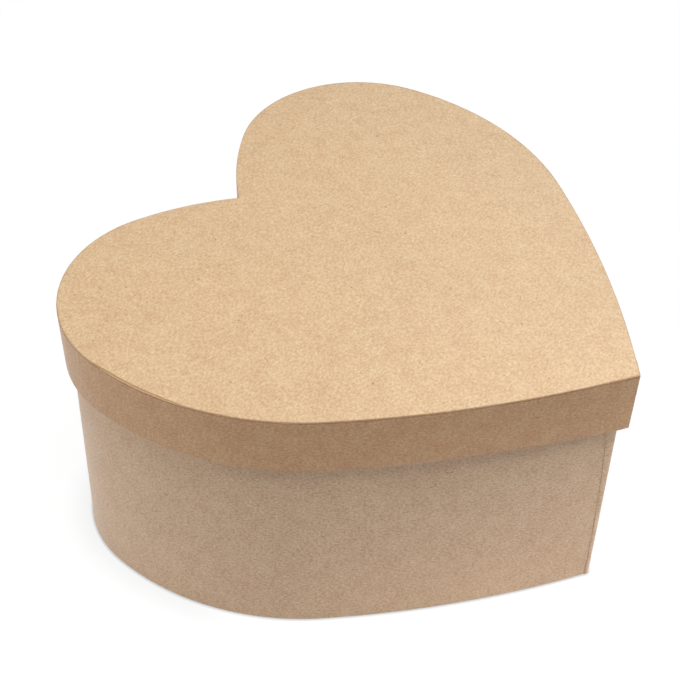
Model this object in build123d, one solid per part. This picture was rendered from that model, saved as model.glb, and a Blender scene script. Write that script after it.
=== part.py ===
from build123d import *
import os
from math import acos, cos, degrees, radians, sin

# Heart-shaped gift box of board covered with kraft paper, with a lift-off lid.
# Millimetres, +Z up. The box stands on Z = 0, its centre line is X = 0, its tip points to -Y,
# and the origin is midway between the tip and the crowns of the lobes.

# Materials
BOARD = 2.0
PAPER = 0.2
TAPE = 0.15

# Heart outline at the outer face of the lid: half of it is four tangent arcs from tip to cleft.
# The shoulder arc is struck from the centre line with half the width.
HEART_WIDTH = 200.0
SIDE_RADIUS = 396.0
LOBE_RADIUS = 47.0
CLEFT_RADIUS = 113.5
SIDE_TO_SHOULDER_ANGLE = -39.5
SHOULDER_TO_LOBE_ANGLE = 9.3
LOBE_TO_CLEFT_ANGLE = 114.5

# Heights and the fit of the lid over the base
BASE_HEIGHT = 102.6
LID_DEPTH = 22.5
LID_CLEARANCE = 0.9

# Folds where the bands and wraps go round the tip
LID_TIP_FOLD = 0.9
BASE_TIP_FOLD = 1.6

# Turned edges of the paper wraps, with V notches so that they lie flat round the curve
TURNED_EDGE = 10.0
NOTCH_PITCH = 16.0
NOTCH_ROOT = 3.0
NOTCH_MOUTH = 2.4
RIM_TURN_IN = 16.0

# Laps where the ends of the wraps meet at the tip, measured along the wall from the fold
BASE_LAP_AT_RIM = 6.0
BASE_LAP_AT_FOOT = 2.4
LID_LAP = 7.0

# Sheets and liners
FACE_MARGIN = 0.8
BOTTOM_MARGIN = 2.5
LINER_BELOW_RIM = 6.0
LINER_GAP = 0.4

# Joint of each band at the cleft, with its tape pressed in just below the face of the board
BAND_JOINT = 0.4
JOINT_TAPE_WIDTH = 26.0
TAPE_RECESS = 0.05

# Reach of cutting shapes past what they cut
OVERRUN = 1.0

# Insets of the walls, measured inwards from the outer face of the lid
LID_BAND_OUT = PAPER
LID_BAND_IN = LID_BAND_OUT + BOARD
LID_IN = LID_BAND_IN + PAPER
BASE_OUT = LID_IN + LID_CLEARANCE
BASE_BAND_OUT = BASE_OUT + PAPER
BASE_BAND_IN = BASE_BAND_OUT + BOARD
BASE_TURN_IN = BASE_BAND_IN + PAPER
BASE_LINER_IN = BASE_TURN_IN + PAPER

# Levels, from the floor up; turned edges are pressed into the board, so the sheets over them lie flat
BASE_BOARD_Z = PAPER
BASE_BAND_Z = BASE_BOARD_Z + PAPER
BASE_FLOOR_Z = BASE_BOARD_Z + BOARD
BASE_BAND_TOP_Z = BASE_HEIGHT - PAPER
LID_BOARD_Z = BASE_HEIGHT + PAPER
LID_BOARD_TOP_Z = LID_BOARD_Z + BOARD
LID_BAND_TOP_Z = LID_BOARD_TOP_Z - PAPER
LID_TOP_Z = LID_BOARD_TOP_Z + PAPER
LID_LOW_Z = LID_TOP_Z - LID_DEPTH
LID_BAND_Z = LID_LOW_Z + PAPER


def polar(length, angle):
    """Point at a distance and an angle in degrees from the origin."""
    return Vector(length * cos(radians(angle)), length * sin(radians(angle)))


def centred_circles():
    """Centre and radius of the four arcs of the right half, midway along Y, from tip to cleft."""
    shoulder_radius = HEART_WIDTH / 2
    shoulder = Vector(0, 0)
    side = shoulder + polar(shoulder_radius - SIDE_RADIUS, SIDE_TO_SHOULDER_ANGLE)
    lobe = shoulder + polar(shoulder_radius - LOBE_RADIUS, SHOULDER_TO_LOBE_ANGLE)
    cleft = lobe + polar(LOBE_RADIUS - CLEFT_RADIUS, LOBE_TO_CLEFT_ANGLE)
    tip = side + polar(SIDE_RADIUS, -degrees(acos(-side.X / SIDE_RADIUS)))
    crown_y = lobe.Y + LOBE_RADIUS
    middle = Vector(0, (tip.Y + crown_y) / 2)
    radii = (SIDE_RADIUS, shoulder_radius, LOBE_RADIUS, CLEFT_RADIUS)
    return [(centre - middle, radius) for centre, radius in zip((side, shoulder, lobe, cleft), radii)]


CIRCLES = centred_circles()


def arcs(inset):
    """Centre, radius, start and end angle of each arc of the right half, inset from the lid's outer face."""
    side, cleft = CIRCLES[0], CIRCLES[-1]
    tip_angle = -degrees(acos(-side[0].X / (side[1] - inset)))
    cleft_angle = degrees(acos(-cleft[0].X / (cleft[1] - inset)))
    angles = (tip_angle, SIDE_TO_SHOULDER_ANGLE, SHOULDER_TO_LOBE_ANGLE, LOBE_TO_CLEFT_ANGLE, cleft_angle)
    return [(centre, radius - inset, start, end)
            for (centre, radius), start, end in zip(CIRCLES, angles, angles[1:])]


def heart(inset, tip_fold=0):
    """Heart-shaped face inset from the lid's outer face, rounded at the tip by tip_fold."""
    with BuildSketch() as sketch:
        with BuildLine():
            for centre, radius, start, end in arcs(inset):
                CenterArc(centre, radius, start, end - start)
            mirror(about=Plane.YZ)
        make_face()
        if tip_fold > 0:
            fillet(sketch.vertices().sort_by(Axis.Y)[0], tip_fold)
    return sketch.sketch


def prism(face, bottom, top):
    """Upright solid of a face between two levels."""
    return extrude(Pos(0, 0, bottom) * face, amount=top - bottom)


def plate(inset, bottom, top):
    """Heart-shaped plate."""
    return prism(heart(inset), bottom, top)


def ring(outer, inner, bottom, top, tip_fold=0):
    """Heart-shaped wall between two insets; tip_fold is the outer radius of its fold at the tip."""
    inner_fold = max(tip_fold - (inner - outer), 0)
    return prism(heart(outer, tip_fold) - heart(inner, inner_fold), bottom, top)


def slab(x_low, x_high, y_low, y_high, bottom, top):
    """Block between limits, for cutting."""
    size = (x_high - x_low, y_high - y_low, top - bottom)
    return Pos(x_low, y_low, bottom) * Box(*size, align=(Align.MIN, Align.MIN, Align.MIN))


def cleft_window(half_width, bottom, top):
    """Block about the centre line on the cleft's side of the origin."""
    return slab(-half_width, half_width, 0, HEART_WIDTH, bottom, top)


def tip_window(half_width, bottom, top):
    """Block about the centre line on the tip's side of the origin."""
    return slab(-half_width, half_width, -HEART_WIDTH, 0, bottom, top)


def turned_edge(inset, tip_fold, bottom):
    """Flat edge of a wrap, turned inwards and notched so that it follows the curve."""
    flange = ring(inset, inset + TURNED_EDGE, bottom, bottom + PAPER, tip_fold)
    notches = Sketch() + [notch(*place) for place in notch_places(inset)]
    notches += mirror(notches, about=Plane.YZ)
    return flange - prism(notches, bottom, bottom + PAPER)


def notch_places(inset):
    """Root, mouth and angle of each notch on the right half, along each arc, clear of the centre line."""
    places = []
    for centre, radius, start, end in arcs(inset):
        count = round(radius * radians(end - start) / NOTCH_PITCH)
        step = (end - start) / count
        for index in range(count):
            angle = start + step * (index + 1 / 2)
            root = centre + polar(radius - NOTCH_ROOT, angle)
            mouth = centre + polar(radius - TURNED_EDGE - OVERRUN, angle)
            if mouth.X > NOTCH_MOUTH:
                places.append((root, mouth, angle))
    return places


def notch(root, mouth, angle):
    """V notch whose root lies near the fold and whose mouth is at the free edge."""
    half_mouth = polar(NOTCH_MOUTH / 2, angle + 90)
    return make_face(Polyline(root, mouth + half_mouth, mouth - half_mouth, close=True))


def band(outer, inner, bottom, top, tip_fold):
    """Board strip bent into a heart, with its joint at the cleft and a seat for the joint's tape."""
    strip = ring(outer, inner, bottom, top, tip_fold)
    strip -= cleft_window(BAND_JOINT / 2, bottom, top)
    return strip - across_joint(inner - TAPE_RECESS - TAPE, inner, bottom, top)


def joint_tape(band_inner, bottom, top):
    """Tape over the joint of a band, on its inner face."""
    face = band_inner - TAPE_RECESS
    return across_joint(face - TAPE, face, bottom, top)


def across_joint(outer, inner, bottom, top):
    """Wall between two insets, as far as a tape reaches across the joint."""
    return ring(outer, inner, bottom, top) & cleft_window(JOINT_TAPE_WIDTH / 2, bottom, top)


def board(inset, turned_inset, bottom, top, pressed_z):
    """Board heart, pressed in by one paper at pressed_z where the edge of a wrap is turned over it."""
    return plate(inset, bottom, top) - ring(inset, turned_inset, pressed_z, pressed_z + PAPER)


def lap(outer, tip_fold, side, at_bottom, at_top, bottom, top):
    """Lapped end of a wrap on one side of the tip, a second layer of paper with a slanted end."""
    layer = ring(outer - PAPER, outer, bottom, top, tip_fold + PAPER)
    wall_angle = radians(arcs(outer)[0][2])
    reach_low, reach_top = (side * length * -sin(wall_angle) for length in (at_bottom, at_top))
    outline = make_face(Polyline((0, bottom), (reach_low, bottom), (reach_top, top), (0, top), close=True))
    window = extrude(Plane.XZ * outline, amount=HEART_WIDTH)
    return layer & window


def base_wall_wrap():
    """Outer paper of the base: wall, hem over the rim, edge turned in at the rim, notched edge underneath."""
    wall = ring(BASE_OUT, BASE_BAND_OUT, BASE_BOARD_Z, BASE_HEIGHT, BASE_TIP_FOLD)
    hem = ring(BASE_OUT, BASE_TURN_IN, BASE_BAND_TOP_Z, BASE_HEIGHT, BASE_TIP_FOLD)
    inside = ring(BASE_BAND_IN, BASE_TURN_IN, BASE_HEIGHT - RIM_TURN_IN, BASE_HEIGHT)
    foot = turned_edge(BASE_OUT, BASE_TIP_FOLD, BASE_BOARD_Z)
    ends = lap(BASE_OUT, BASE_TIP_FOLD, -1, BASE_LAP_AT_FOOT, BASE_LAP_AT_RIM, BASE_BOARD_Z, BASE_HEIGHT)
    return wall + hem + inside + foot + ends


def base_wall_liner():
    """Inner paper of the base: from the floor up the wall and over the edge turned in at the rim."""
    turn_in_z = BASE_HEIGHT - RIM_TURN_IN
    low = ring(BASE_BAND_IN, BASE_TURN_IN, BASE_FLOOR_Z, turn_in_z)
    step = ring(BASE_BAND_IN, BASE_LINER_IN, turn_in_z - PAPER, turn_in_z)
    high = ring(BASE_TURN_IN, BASE_LINER_IN, turn_in_z - PAPER, BASE_HEIGHT - LINER_BELOW_RIM)
    joint = tip_window(LINER_GAP / 2, BASE_FLOOR_Z, BASE_HEIGHT)
    return low + step + high - joint


def lid_rim_wrap():
    """Outer paper of the lid: notched edge on top, rim, hem round the lower edge, inside of the rim."""
    wall = ring(0, LID_BAND_OUT, LID_LOW_Z, LID_BOARD_TOP_Z, LID_TIP_FOLD)
    hem = ring(0, LID_IN, LID_LOW_Z, LID_BAND_Z, LID_TIP_FOLD)
    inside = ring(LID_BAND_IN, LID_IN, LID_LOW_Z, LID_BOARD_Z)
    top = turned_edge(0, LID_TIP_FOLD, LID_BAND_TOP_Z)
    ends = lap(0, LID_TIP_FOLD, 1, LID_LAP, LID_LAP, LID_LOW_Z, LID_BOARD_TOP_Z)
    return wall + hem + inside + top + ends


def build_nodes():
    """Every piece of the box under its name."""
    base_band = (BASE_BAND_OUT, BASE_BAND_IN, BASE_BAND_Z, BASE_BAND_TOP_Z)
    lid_band = (LID_BAND_OUT, LID_BAND_IN, LID_BAND_Z, LID_BAND_TOP_Z)
    base_turned = BASE_OUT + TURNED_EDGE
    return {
        "base_bottom_board": board(BASE_BAND_IN, base_turned, BASE_BOARD_Z, BASE_FLOOR_Z, BASE_BOARD_Z),
        "base_wall_band": band(*base_band, BASE_TIP_FOLD - PAPER),
        "base_joint_tape": joint_tape(*base_band[1:]),
        "base_wall_wrap": base_wall_wrap(),
        "base_bottom_sheet": plate(BASE_OUT + BOTTOM_MARGIN, 0, BASE_BOARD_Z),
        "base_wall_liner": base_wall_liner(),
        "base_floor_liner": plate(BASE_TURN_IN + LINER_GAP, BASE_FLOOR_Z, BASE_FLOOR_Z + PAPER),
        "lid_top_board": board(LID_BAND_IN, TURNED_EDGE, LID_BOARD_Z, LID_BOARD_TOP_Z, LID_BAND_TOP_Z),
        "lid_rim_band": band(*lid_band, LID_TIP_FOLD - PAPER),
        "lid_joint_tape": joint_tape(*lid_band[1:]),
        "lid_rim_wrap": lid_rim_wrap(),
        "lid_face_sheet": plate(FACE_MARGIN, LID_BOARD_TOP_Z, LID_TOP_Z),
        "lid_ceiling_liner": plate(LID_IN + LINER_GAP, BASE_HEIGHT, LID_BOARD_Z),
    }


os.makedirs("parts", exist_ok=True)
for name, solid in build_nodes().items():
    solid.label = name
    export_step(solid, f"parts/{name}.step")
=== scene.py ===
"""Looks of the heart box: kraft papers laid round the boards of the frame, in a plain pale studio."""

import logging
from dataclasses import dataclass, field
from enum import Enum
from math import acos, ceil, cos, pi, radians, sin
from typing import Any, Iterable, Mapping, NamedTuple, Optional, Sequence, Union

import bpy
from mathutils import Matrix, Vector


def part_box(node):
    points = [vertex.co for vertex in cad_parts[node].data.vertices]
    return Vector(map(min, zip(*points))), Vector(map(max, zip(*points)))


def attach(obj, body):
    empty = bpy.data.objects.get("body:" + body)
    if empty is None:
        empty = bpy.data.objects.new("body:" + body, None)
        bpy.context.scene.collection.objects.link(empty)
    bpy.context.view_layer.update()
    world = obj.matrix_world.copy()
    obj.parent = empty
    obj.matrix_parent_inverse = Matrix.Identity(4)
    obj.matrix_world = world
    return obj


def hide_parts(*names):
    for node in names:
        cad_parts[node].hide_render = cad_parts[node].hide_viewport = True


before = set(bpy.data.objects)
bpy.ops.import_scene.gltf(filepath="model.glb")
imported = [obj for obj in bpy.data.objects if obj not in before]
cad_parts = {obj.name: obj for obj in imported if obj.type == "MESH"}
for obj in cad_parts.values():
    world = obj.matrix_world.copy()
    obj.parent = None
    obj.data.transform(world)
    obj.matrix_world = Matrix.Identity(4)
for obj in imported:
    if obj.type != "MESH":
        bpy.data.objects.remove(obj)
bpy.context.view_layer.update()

LOG = logging.getLogger("heart_box")
MM = 0.001
QUARTER_TURN = pi / 2

Colour = tuple[float, float, float]
Key = Union[str, int]


class Body(Enum):
    """Bodies of the frame that pieces ride on."""

    LID = "lid"
    BASE = "base"


class Side(Enum):
    """Sides of the centre line, seen from above with the tip towards the viewer."""

    LEFT = -1
    RIGHT = 1

    def other(self) -> "Side":
        """The opposite side."""
        return Side(-self.value)


class Heading(Enum):
    """Directions a paper may set off in, as angles in the plane of depth and height."""

    INWARD = 0.0
    UP = QUARTER_TURN
    OUTWARD = pi
    DOWN = -QUARTER_TURN


class Lay(Enum):
    """What the grain of a finish follows."""

    STRIP = "the strip's own length"
    SHEET = "the plane of the sheet"


def polar(length: float, angle: float) -> Vector:
    """Point of the floor plane at a distance and an angle from the origin."""
    return Vector((length * cos(angle), length * sin(angle)))


def smoothstep(share: float) -> float:
    """Share from 0 to 1 with soft ends."""
    share = min(max(share, 0.0), 1.0)
    return share * share * (3 - 2 * share)


def half_width(node: str) -> float:
    """Half the width of a node of the frame, which is symmetric about its centre line."""
    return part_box(node)[1].x


def low(node: str) -> float:
    """Lowest level of a node of the frame."""
    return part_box(node)[0].z


def high(node: str) -> float:
    """Highest level of a node of the frame."""
    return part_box(node)[1].z


def inset_of(node: str) -> float:
    """How far a node of the frame lies inside the lid's outer face."""
    return half_width("lid_rim_wrap") - half_width(node)


@dataclass
class Wiring:
    """Adds nodes to one node tree and joins them."""

    tree: bpy.types.NodeTree

    def add(self, kind: str, feeds: Optional[Mapping[Key, Any]] = None, **settings: Any) -> bpy.types.Node:
        """Adds a node.

        Args:
            kind: The node's type name.
            feeds: What goes into each input, a socket to link or a plain value.
            settings: The node's own properties, set before its inputs are fed.

        Returns:
            The new node.
        """
        node = self.tree.nodes.new(kind)
        for name, value in settings.items():
            setattr(node, name, value)
        for key, value in (feeds or {}).items():
            self.feed(node.inputs[key], value)
        return node

    def feed(self, socket: bpy.types.NodeSocket, value: Any) -> None:
        """Links a socket into an input, or sets the input to a plain value.

        Args:
            socket: The input.
            value: A socket to link or a plain value.
        """
        if isinstance(value, bpy.types.NodeSocket):
            self.tree.links.new(value, socket)
        else:
            socket.default_value = value

    def sum(self, kind: str, *values: Any, clamp: bool = False) -> bpy.types.NodeSocket:
        """Output of a Math node of a kind with its values in order."""
        return self.add("ShaderNodeMath", dict(enumerate(values)), operation=kind, use_clamp=clamp).outputs[0]

    def vector(self, kind: str, *values: Any) -> bpy.types.NodeSocket:
        """Vector output of a Vector Math node of a kind with its values in order."""
        return self.add("ShaderNodeVectorMath", dict(enumerate(values)), operation=kind).outputs["Vector"]

    def scaled(self, vector: Any, factor: Any) -> bpy.types.NodeSocket:
        """A vector times a number."""
        feeds = {"Vector": vector, "Scale": factor}
        return self.add("ShaderNodeVectorMath", feeds, operation="SCALE").outputs[0]

    def joined(self, x: Any = 0.0, y: Any = 0.0, z: Any = 0.0) -> bpy.types.NodeSocket:
        """A vector made of three numbers."""
        return self.add("ShaderNodeCombineXYZ", {"X": x, "Y": y, "Z": z}).outputs[0]

    def split(self, vector: Any) -> Sequence[bpy.types.NodeSocket]:
        """The three numbers of a vector."""
        return self.add("ShaderNodeSeparateXYZ", {0: vector}).outputs

    def ramp(self, value: Any, start: Any, end: Any, at_start: Any, at_end: Any, kind: str = "LINEAR",
             ) -> bpy.types.NodeSocket:
        """A number mapped from one range onto another, and held at its ends.

        Args:
            value: The number.
            start: Start of the range it comes from.
            end: End of the range it comes from.
            at_start: Result at the start.
            at_end: Result at the end.
            kind: Interpolation of the Map Range node.

        Returns:
            The mapped number.
        """
        feeds = {"Value": value, "From Min": start, "From Max": end, "To Min": at_start, "To Max": at_end}
        return self.add("ShaderNodeMapRange", feeds, interpolation_type=kind).outputs[0]

    def noise(self, place: Any, size: Any, detail: float = 0.0, seed: Any = 0.0) -> bpy.types.NodeSocket:
        """Soft noise from about -1 to 1.

        Args:
            place: Where it is read.
            size: Size of its features, in the units of the place.
            detail: Octaves of finer noise.
            seed: Which noise it is.

        Returns:
            The noise as a number.
        """
        feeds = {"Vector": place, "W": seed, "Scale": self.sum("DIVIDE", 1.0, size), "Detail": detail}
        cloud = self.add("ShaderNodeTexNoise", feeds, noise_dimensions="4D")
        return self.sum("MULTIPLY_ADD", cloud.outputs[0], 2.0, -1.0)

    def spots(self, place: Any, spacing: float, radius: float, share: float) -> bpy.types.NodeSocket:
        """Soft spots of different sizes, scattered over the plane of X and Y.

        Args:
            place: Where they are read.
            spacing: Distance between the cells that may hold a spot.
            radius: Radius of the largest spot.
            share: Share of the cells that hold one.

        Returns:
            1 in the middle of a large spot, 0 outside.
        """
        feeds = {"Vector": place, "Scale": 1 / spacing}
        cells = self.add("ShaderNodeTexVoronoi", feeds, voronoi_dimensions="2D").outputs
        reach = self.ramp(self.split(cells["Color"])[0], 1 - share, 1.0, 0.0, radius / spacing)
        return self.ramp(self.sum("SUBTRACT", reach, cells["Distance"]), 0.0, radius / spacing / 2, 0.0, 1.0)

    def blend(self, share: Any, first: Any, second: Any) -> bpy.types.NodeSocket:
        """Colour a share of the way from the first to the second."""
        mix = self.add("ShaderNodeMix", {0: share, 6: first, 7: second}, data_type="RGBA")
        return mix.outputs[2]


@dataclass(frozen=True)
class Arc:
    """Stretch of a circle in the floor plane."""

    centre: Vector
    radius: float
    start: float
    end: float

    def at(self, share: float) -> Vector:
        """Point a share of the way along."""
        return self.centre + polar(self.radius, self.start + (self.end - self.start) * share)

    def length(self) -> float:
        """Length along the arc."""
        return self.radius * abs(self.end - self.start)


@dataclass(frozen=True)
class Station:
    """Place along the heart's outline that means the same at every inset.

    Attributes:
        side: Side of the centre line.
        arc: Index of the arc, counted from the fold at the tip.
        share: Share of the way along that arc.
        lift: Layers of paper below the one that passes here.
    """

    side: Side
    arc: int
    share: float
    lift: float = 0.0


@dataclass(frozen=True)
class HeartOutline:
    """Heart seen from above: on each side a fold at the tip and four tangent arcs to the cleft."""

    half_width: float
    side_radius: float = 396 * MM
    lobe_radius: float = 47 * MM
    cleft_radius: float = 113.5 * MM
    side_to_shoulder: float = radians(-39.5)
    shoulder_to_lobe: float = radians(9.3)
    lobe_to_cleft: float = radians(114.5)
    spacing: float = 1.2 * MM
    fold_steps: int = 6

    def circles(self) -> list[tuple[Vector, float]]:
        """Centre and radius of each arc of the right side, midway between tip and crowns along Y.

        Returns:
            Side, shoulder, lobe and cleft.
        """
        shoulder = Vector((0.0, 0.0))
        side = shoulder + polar(self.half_width - self.side_radius, self.side_to_shoulder)
        lobe = shoulder + polar(self.half_width - self.lobe_radius, self.shoulder_to_lobe)
        cleft = lobe + polar(self.lobe_radius - self.cleft_radius, self.lobe_to_cleft)
        tip = side + polar(self.side_radius, -acos(-side.x / self.side_radius))
        middle = Vector((0.0, (tip.y + lobe.y + self.lobe_radius) / 2))
        centres = (side, shoulder, lobe, cleft)
        radii = (self.side_radius, self.half_width, self.lobe_radius, self.cleft_radius)
        return [(centre - middle, radius) for centre, radius in zip(centres, radii)]

    def arcs(self, inset: float = 0.0, fold: float = 0.0) -> list[Arc]:
        """Arcs of the right side at an inset.

        Args:
            inset: Distance inside the lid's outer face.
            fold: Radius of the fold at the tip.

        Returns:
            The fold, then side, shoulder, lobe and cleft.
        """
        circles = self.circles()
        (side, side_radius), (cleft, cleft_radius) = circles[0], circles[-1]
        fold_reach = side_radius - inset - fold
        tip_angle = -acos(-side.x / fold_reach)
        fold_centre = side + polar(fold_reach, tip_angle)
        cleft_angle = acos(-cleft.x / (cleft_radius - inset))
        angles = (tip_angle, self.side_to_shoulder, self.shoulder_to_lobe, self.lobe_to_cleft, cleft_angle)
        stretches = [Arc(fold_centre, fold, -QUARTER_TURN, tip_angle)]
        for (centre, radius), start, end in zip(circles, angles, angles[1:]):
            stretches.append(Arc(centre, radius - inset, start, end))
        return stretches

    def half(self, side: Side) -> list[Station]:
        """Stations of one side from the tip to the cleft.

        Args:
            side: Side of the centre line.

        Returns:
            The stations in order.
        """
        stations = []
        for index, arc in enumerate(self.arcs()):
            count = max(self.fold_steps, round(arc.length() / self.spacing))
            stations += [Station(side, index, step / count) for step in range(count)]
        return stations + [Station(side, len(self.arcs()) - 1, 1.0)]

    def ring(self) -> list[Station]:
        """Stations right round, by the left side from the tip back to the tip."""
        return self.half(Side.LEFT) + self.half(Side.RIGHT)[-2::-1]

    def place(self, station: Station, arcs: Sequence[Arc]) -> Vector:
        """Point of a station on the arcs of an inset."""
        point = arcs[station.arc].at(station.share)
        return Vector((point.x * station.side.value, point.y))

    def line(self, stations: Iterable[Station], inset: float, fold: float = 0.0) -> list[Vector]:
        """Points of stations at an inset.

        Args:
            stations: The stations in order.
            inset: Distance inside the lid's outer face.
            fold: Radius of the fold at the tip.

        Returns:
            One point for each station.
        """
        arcs = self.arcs(inset, fold)
        return [self.place(station, arcs) for station in stations]


@dataclass(frozen=True)
class Lap:
    """Ends of a strip of paper that meet at the tip, one over the other.

    Attributes:
        side: Side that the upper end reaches round to.
        over: How far the upper end reaches past the tip at the floor's level.
        under: How far the lower end reaches past the tip on the other side.
        flare: How much farther the upper end reaches at the flare's height, growing with its cube.
        wear: How ragged the upper end is.
        rub_and_shade: How dark the edge of the upper end is made: rubbed paper, and painted shade of its step
            onto the lower end.
        ramp: Length over which the upper end climbs onto the lower.
        step: Distance between stations near the tip.
        cut: Thickness of the cut that closes an end.
    """

    side: Side
    over: float
    under: float = 4 * MM
    flare: float = 0.0
    wear: float = 0.0
    # Darker edge of the upper end: rubbing plus painted shade of its step
    rub_and_shade: float = 0.15
    ramp: float = 8 * MM
    step: float = 0.6 * MM
    cut: float = 0.02 * MM

    def near_tip(self, arcs: Sequence[Arc], side: Side, reach: float, lift: float) -> list[Station]:
        """Stations on one side from the tip outwards, with one more that closes the end.

        Args:
            arcs: Arcs of the strip's outer line.
            side: Side of the tip.
            reach: Distance along the wall.
            lift: Layers of paper below.

        Returns:
            The stations in order from the tip.
        """
        fold, wall = arcs[0].length(), arcs[1].length()
        count = ceil(reach / self.step)
        stations = []
        for distance in [reach * step / count for step in range(count + 1)] + [reach + self.cut]:
            if distance < fold:
                stations.append(Station(side, 0, distance / fold, lift))
            else:
                stations.append(Station(side, 1, (distance - fold) / wall, lift))
        return stations

    def lifted(self, half: Sequence[Station], arcs: Sequence[Arc]) -> list[Station]:
        """Stations of one side, lifted near the tip to climb onto the lower end.

        Args:
            half: Stations from the tip to the cleft.
            arcs: Arcs of the strip's outer line.

        Returns:
            The stations with their lift.
        """
        starts = [sum(arc.length() for arc in arcs[:index]) for index in range(len(arcs))]
        climbed = []
        for station in half:
            distance = starts[station.arc] + arcs[station.arc].length() * station.share
            lift = smoothstep((self.under + self.ramp - distance) / self.ramp)
            climbed.append(Station(station.side, station.arc, station.share, lift))
        return climbed

    def inputs(self) -> dict[str, Any]:
        """Inputs of the paper tree for these ends."""
        return {"turned_over": self.side is Side.RIGHT, "lap_reach": self.over, "lap_flare": self.flare,
                "lap_wear": self.wear, "lap_rub": self.rub_and_shade}

    def stations(self, outline: HeartOutline, inset: float, fold: float) -> list[Station]:
        """Stations of a strip from its lower end, right round the heart, to its upper end.

        Args:
            outline: The heart.
            inset: Inset of the strip's outer line.
            fold: Radius of the fold at the tip.

        Returns:
            The stations in order.
        """
        arcs = outline.arcs(inset, fold)
        back = self.side.other()
        start = self.near_tip(arcs, back, self.under, 0.0)[::-1]
        away = outline.half(self.side)[1:]
        home = self.lifted(outline.half(back), arcs)[-2::-1]
        return start + away + home + self.near_tip(arcs, self.side, self.over, 1.0)[1:]


@dataclass(frozen=True)
class ButtJoint:
    """Ends of a strip of paper that meet at the tip with a gap between them."""

    gap: float
    cut: float = 0.02 * MM

    def inputs(self) -> dict[str, Any]:
        """Inputs of the paper tree for these ends."""
        return {"turned_over": False, "lap_reach": self.cut}

    def half(self, outline: HeartOutline, side: Side, wall: float) -> list[Station]:
        """Stations of one side from the gap to the cleft.

        Args:
            outline: The heart.
            side: Side of the centre line.
            wall: Length of the arc next to the tip.

        Returns:
            The stations, with one more that closes the end.
        """
        start = self.gap / 2 / wall
        ends = [Station(side, 1, start - self.cut / wall), Station(side, 1, start)]
        return ends + [station for station in outline.half(side) if (station.arc, station.share) > (1, start)]

    def stations(self, outline: HeartOutline, inset: float, fold: float) -> list[Station]:
        """Stations of a strip by the left side, from the gap right round to the gap.

        Args:
            outline: The heart.
            inset: Inset of the strip's outer line.
            fold: Radius of the fold at the tip.

        Returns:
            The stations in order.
        """
        wall = outline.arcs(inset, fold)[1].length()
        return self.half(outline, Side.LEFT, wall) + self.half(outline, Side.RIGHT, wall)[-2::-1]


@dataclass
class PaperPath:
    """Route of a paper over its board in depth and height: runs and folds, with the face on the right.

    Attributes:
        depth: Depth of the start inside the outer line.
        height: Height of the start.
        heading: Direction of the start.
        thickness: Thickness of the paper.
        face: Points of the face so far.
        back: Points of the glued side, one opposite each point of the face.
        worn: How worn the paper is at each point, from -1 for fluffed and painted paler with sheen to 1 for
            burnished.
    """

    depth: float
    height: float
    heading: Heading
    thickness: float
    face: list[Vector] = field(default_factory=list)
    back: list[Vector] = field(default_factory=list)
    worn: list[float] = field(default_factory=list)

    def __post_init__(self) -> None:
        """Puts down the first point."""
        self.spot = Vector((self.depth, self.height))
        self.angle = self.heading.value
        self.put_down(0.0)

    def put_down(self, worn: float) -> None:
        """Adds the present spot to the face and the point behind it to the back.

        Args:
            worn: How worn the paper is there.
        """
        outward = polar(1.0, self.angle - QUARTER_TURN)
        self.face.append(self.spot.copy())
        self.back.append(self.spot - outward * self.thickness)
        self.worn.append(worn)

    def run(self, length: float, rows: int, margin: float = 0.0, worn: float = 0.0) -> "PaperPath":
        """Goes straight on.

        Args:
            length: Length of the run.
            rows: Rows of faces along it.
            margin: Length of a short row at each end, or 0 for none.
            worn: How worn the run is.

        Returns:
            The path itself.
        """
        start = self.spot.copy()
        inner = [margin + (length - 2 * margin) * row / rows for row in range(1, rows)]
        ends = [margin, length - margin] if margin > 0 else []
        for distance in sorted(inner + ends) + [length]:
            self.spot = start + polar(distance, self.angle)
            self.put_down(worn)
        return self

    def fold(self, radius: float, turn: float, rows: int, worn: float = 0.0) -> "PaperPath":
        """Turns to the left, or to the right where the turn is negative.

        Args:
            radius: Radius of the face on the fold.
            turn: Angle of the turn.
            rows: Rows of faces round it.
            worn: How worn the fold is where it ends.

        Returns:
            The path itself.
        """
        side = QUARTER_TURN if turn > 0 else -QUARTER_TURN
        centre = self.spot + polar(radius, self.angle + side)
        start, before = self.angle, self.worn[-1]
        for row in range(1, rows + 1):
            self.angle = start + turn * row / rows
            self.spot = centre - polar(radius, self.angle + side)
            self.put_down(before + (worn - before) * row / rows)
        return self


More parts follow.
